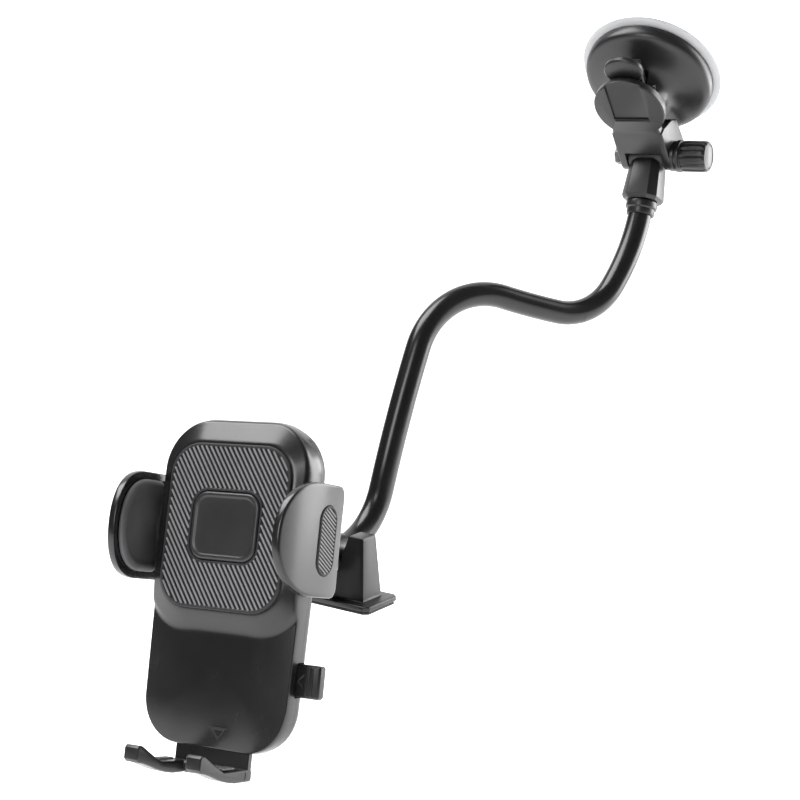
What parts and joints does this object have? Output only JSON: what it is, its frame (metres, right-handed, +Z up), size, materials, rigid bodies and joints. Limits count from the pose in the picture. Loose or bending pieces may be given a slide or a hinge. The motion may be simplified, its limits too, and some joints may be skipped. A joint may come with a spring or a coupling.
{
  "type": "car phone mount",
  "caption": "Suction-cup car phone mount with a bendable arm, a dashboard saddle and a cradle that holds a phone between two sliding clamps and a hooked foot.",
  "frame": {"origin": "centre of the suction pad's face that sticks to the windscreen", "axes": "+X to the right of someone looking at the phone, +Y towards the windscreen, +Z up; the dashboard saddle stands flat on a face whose normal is -Z"},
  "size_m": [0.1449, 0.307, 0.2809],
  "materials": {
    "gel_clear": "clear soft gel",
    "plastic_black": "satin black, fine grain",
    "shell_black": "smooth semi-gloss black",
    "sleeve_black": "smooth satin black sleeve",
    "silicone_black": "matte black silicone",
    "silicone_grey": "soft mid grey silicone",
    "plastic_grey": "dark grey acetal",
    "steel_zinc": "zinc plated",
    "ball_chrome": "polished steel"
  },
  "bodies": {
    "cup": {"gel_pad": "gel_clear", "suction_cap": "plastic_black", "lever_pin": "steel_zinc", "mount_bracket": "plastic_black", "hub_screw_left": "steel_zinc", "hub_screw_right": "steel_zinc", "hinge_nut": "steel_zinc"},
    "pull_rod": {"pull_rod": "plastic_grey", "rod_cross_pin": "steel_zinc"},
    "lever": {"lock_lever": "plastic_black"},
    "knob": {"clamp_knob": "plastic_black", "knob_bolt": "steel_zinc"},
    "arm_head": {"arm_head": "plastic_black", "upper_collar": "plastic_black", "arm_sleeve_1": "sleeve_black"},
    "flex_1": {"arm_sleeve_2": "sleeve_black"},
    "flex_2": {"arm_sleeve_3": "sleeve_black"},
    "flex_3": {"arm_sleeve_4": "sleeve_black"},
    "arm_end": {"arm_sleeve_5": "sleeve_black", "lower_ferrule": "plastic_black", "ball_stud": "ball_chrome"},
    "saddle": {"dash_saddle": "plastic_black", "saddle_sole": "silicone_black"},
    "ball_liner": {"ball_liner": "plastic_grey"},
    "lock_nut": {"lock_nut": "plastic_black"},
    "cradle": {"rear_housing": "plastic_black", "front_housing": "shell_black", "grip_pad": "silicone_black", "centre_plate": "plastic_grey", "housing_screw_1": "steel_zinc", "housing_screw_2": "steel_zinc", "housing_screw_3": "steel_zinc", "housing_screw_4": "steel_zinc", "foot_spring": "steel_zinc"},
    "left_clamp": {"left_clamp": "shell_black", "left_clamp_pad": "silicone_grey", "left_grip_inset": "silicone_black"},
    "right_clamp": {"right_clamp": "shell_black", "right_clamp_pad": "silicone_grey", "right_grip_inset": "silicone_black"},
    "pinion": {"pinion": "plastic_grey"},
    "pawl": {"ratchet_pawl": "plastic_grey"},
    "button": {"release_button": "plastic_black"},
    "foot": {"phone_foot": "plastic_black", "foot_strip_left": "silicone_grey", "foot_strip_right": "silicone_grey"}
  },
  "joints": [
    {"name": "lever_tilt", "type": "hinge", "parent": "cup", "child": "lever", "pos_m": [0, -0.0176, -0.00752], "axis": [1, 0, 0], "range_deg": [-18, 0]},
    {"name": "rod_pull", "type": "slide", "parent": "cup", "child": "pull_rod", "axis": [0, -0.7314, -0.682], "range_m": [0, 0.0022]},
    {"name": "knob_turn", "type": "hinge", "parent": "cup", "child": "knob", "pos_m": [0, 0.00045, -0.03787], "axis": [1, 0, 0], "continuous": true},
    {"name": "arm_pivot", "type": "hinge", "parent": "cup", "child": "arm_head", "pos_m": [0, 0.00045, -0.03787], "axis": [1, 0, 0], "range_deg": [-22, 28]},
    {"name": "flex_1_bend", "type": "hinge", "parent": "arm_head", "child": "flex_1", "pos_m": [-0.00437, -0.02641, -0.09303], "axis": [-0.8107, 0.5492, -0.2031], "range_deg": [-15, 15]},
    {"name": "flex_2_bend", "type": "hinge", "parent": "flex_1", "child": "flex_2", "pos_m": [-0.02817, -0.06464, -0.10141], "axis": [-0.0003, -0.3474, -0.9377], "range_deg": [-15, 15]},
    {"name": "flex_3_bend", "type": "hinge", "parent": "flex_2", "child": "flex_3", "pos_m": [-0.05551, -0.10669, -0.10596], "axis": [-0.8107, 0.5491, -0.2031], "range_deg": [-15, 15]},
    {"name": "flex_4_bend", "type": "hinge", "parent": "flex_3", "child": "arm_end", "pos_m": [-0.06082, -0.13167, -0.1577], "axis": [0.0834, 0.9292, -0.36], "range_deg": [-15, 15]},
    {"name": "saddle_swivel", "type": "hinge", "parent": "arm_end", "child": "saddle", "pos_m": [-0.06588, -0.17043, -0.19256], "axis": [-0.0978, -0.9899, 0.1028], "range_deg": [-12, 12]},
    {"name": "cradle_pan", "type": "hinge", "parent": "arm_end", "child": "ball_liner", "pos_m": [-0.06963, -0.20834, -0.18862], "axis": [-0.0663, 0.3083, 0.949], "range_deg": [-12, 12]},
    {"name": "cradle_tilt", "type": "hinge", "parent": "ball_liner", "child": "lock_nut", "pos_m": [-0.06963, -0.20834, -0.18862], "axis": [0.9978, 0.0205, 0.063], "range_deg": [-12, 12]},
    {"name": "cradle_roll", "type": "hinge", "parent": "lock_nut", "child": "cradle", "pos_m": [-0.06963, -0.20834, -0.18862], "axis": [0, -0.9511, 0.309], "range_deg": [-90, 90]},
    {"name": "left_clamp_slide", "type": "slide", "parent": "cradle", "child": "left_clamp", "axis": [-0.9978, -0.0205, -0.063], "range_m": [0, 0.013]},
    {"name": "right_clamp_slide", "type": "slide", "parent": "cradle", "child": "right_clamp", "axis": [0.9978, 0.0205, 0.063], "range_m": [0, 0.0131]},
    {"name": "pinion_turn", "type": "hinge", "parent": "cradle", "child": "pinion", "pos_m": [-0.07029, -0.22476, -0.1728], "axis": [0, -0.9511, 0.309], "range_deg": [-155, 5]},
    {"name": "button_push", "type": "slide", "parent": "cradle", "child": "button", "axis": [0.9978, 0.0205, 0.063], "range_m": [-0.003, 0], "stiffness_N_per_m": 300},
    {"name": "pawl_turn", "type": "hinge", "parent": "cradle", "child": "pawl", "pos_m": [-0.05569, -0.23198, -0.19536], "axis": [0, -0.9511, 0.309], "range_deg": [-7, 0.5]},
    {"name": "foot_slide", "type": "slide", "parent": "cradle", "child": "foot", "axis": [0.0663, -0.3083, -0.949], "range_m": [-0.004, 0.01]}
  ],
  "couplings": [
    {"joint": "rod_pull", "follows": "lever_tilt", "m_per_rad": -0.0065},
    {"joint": "right_clamp_slide", "follows": "left_clamp_slide", "ratio": 1},
    {"joint": "pinion_turn", "follows": "left_clamp_slide", "rad_per_m": -204.08},
    {"joint": "pawl_turn", "follows": "button_push", "rad_per_m": 38.6}
  ]
}
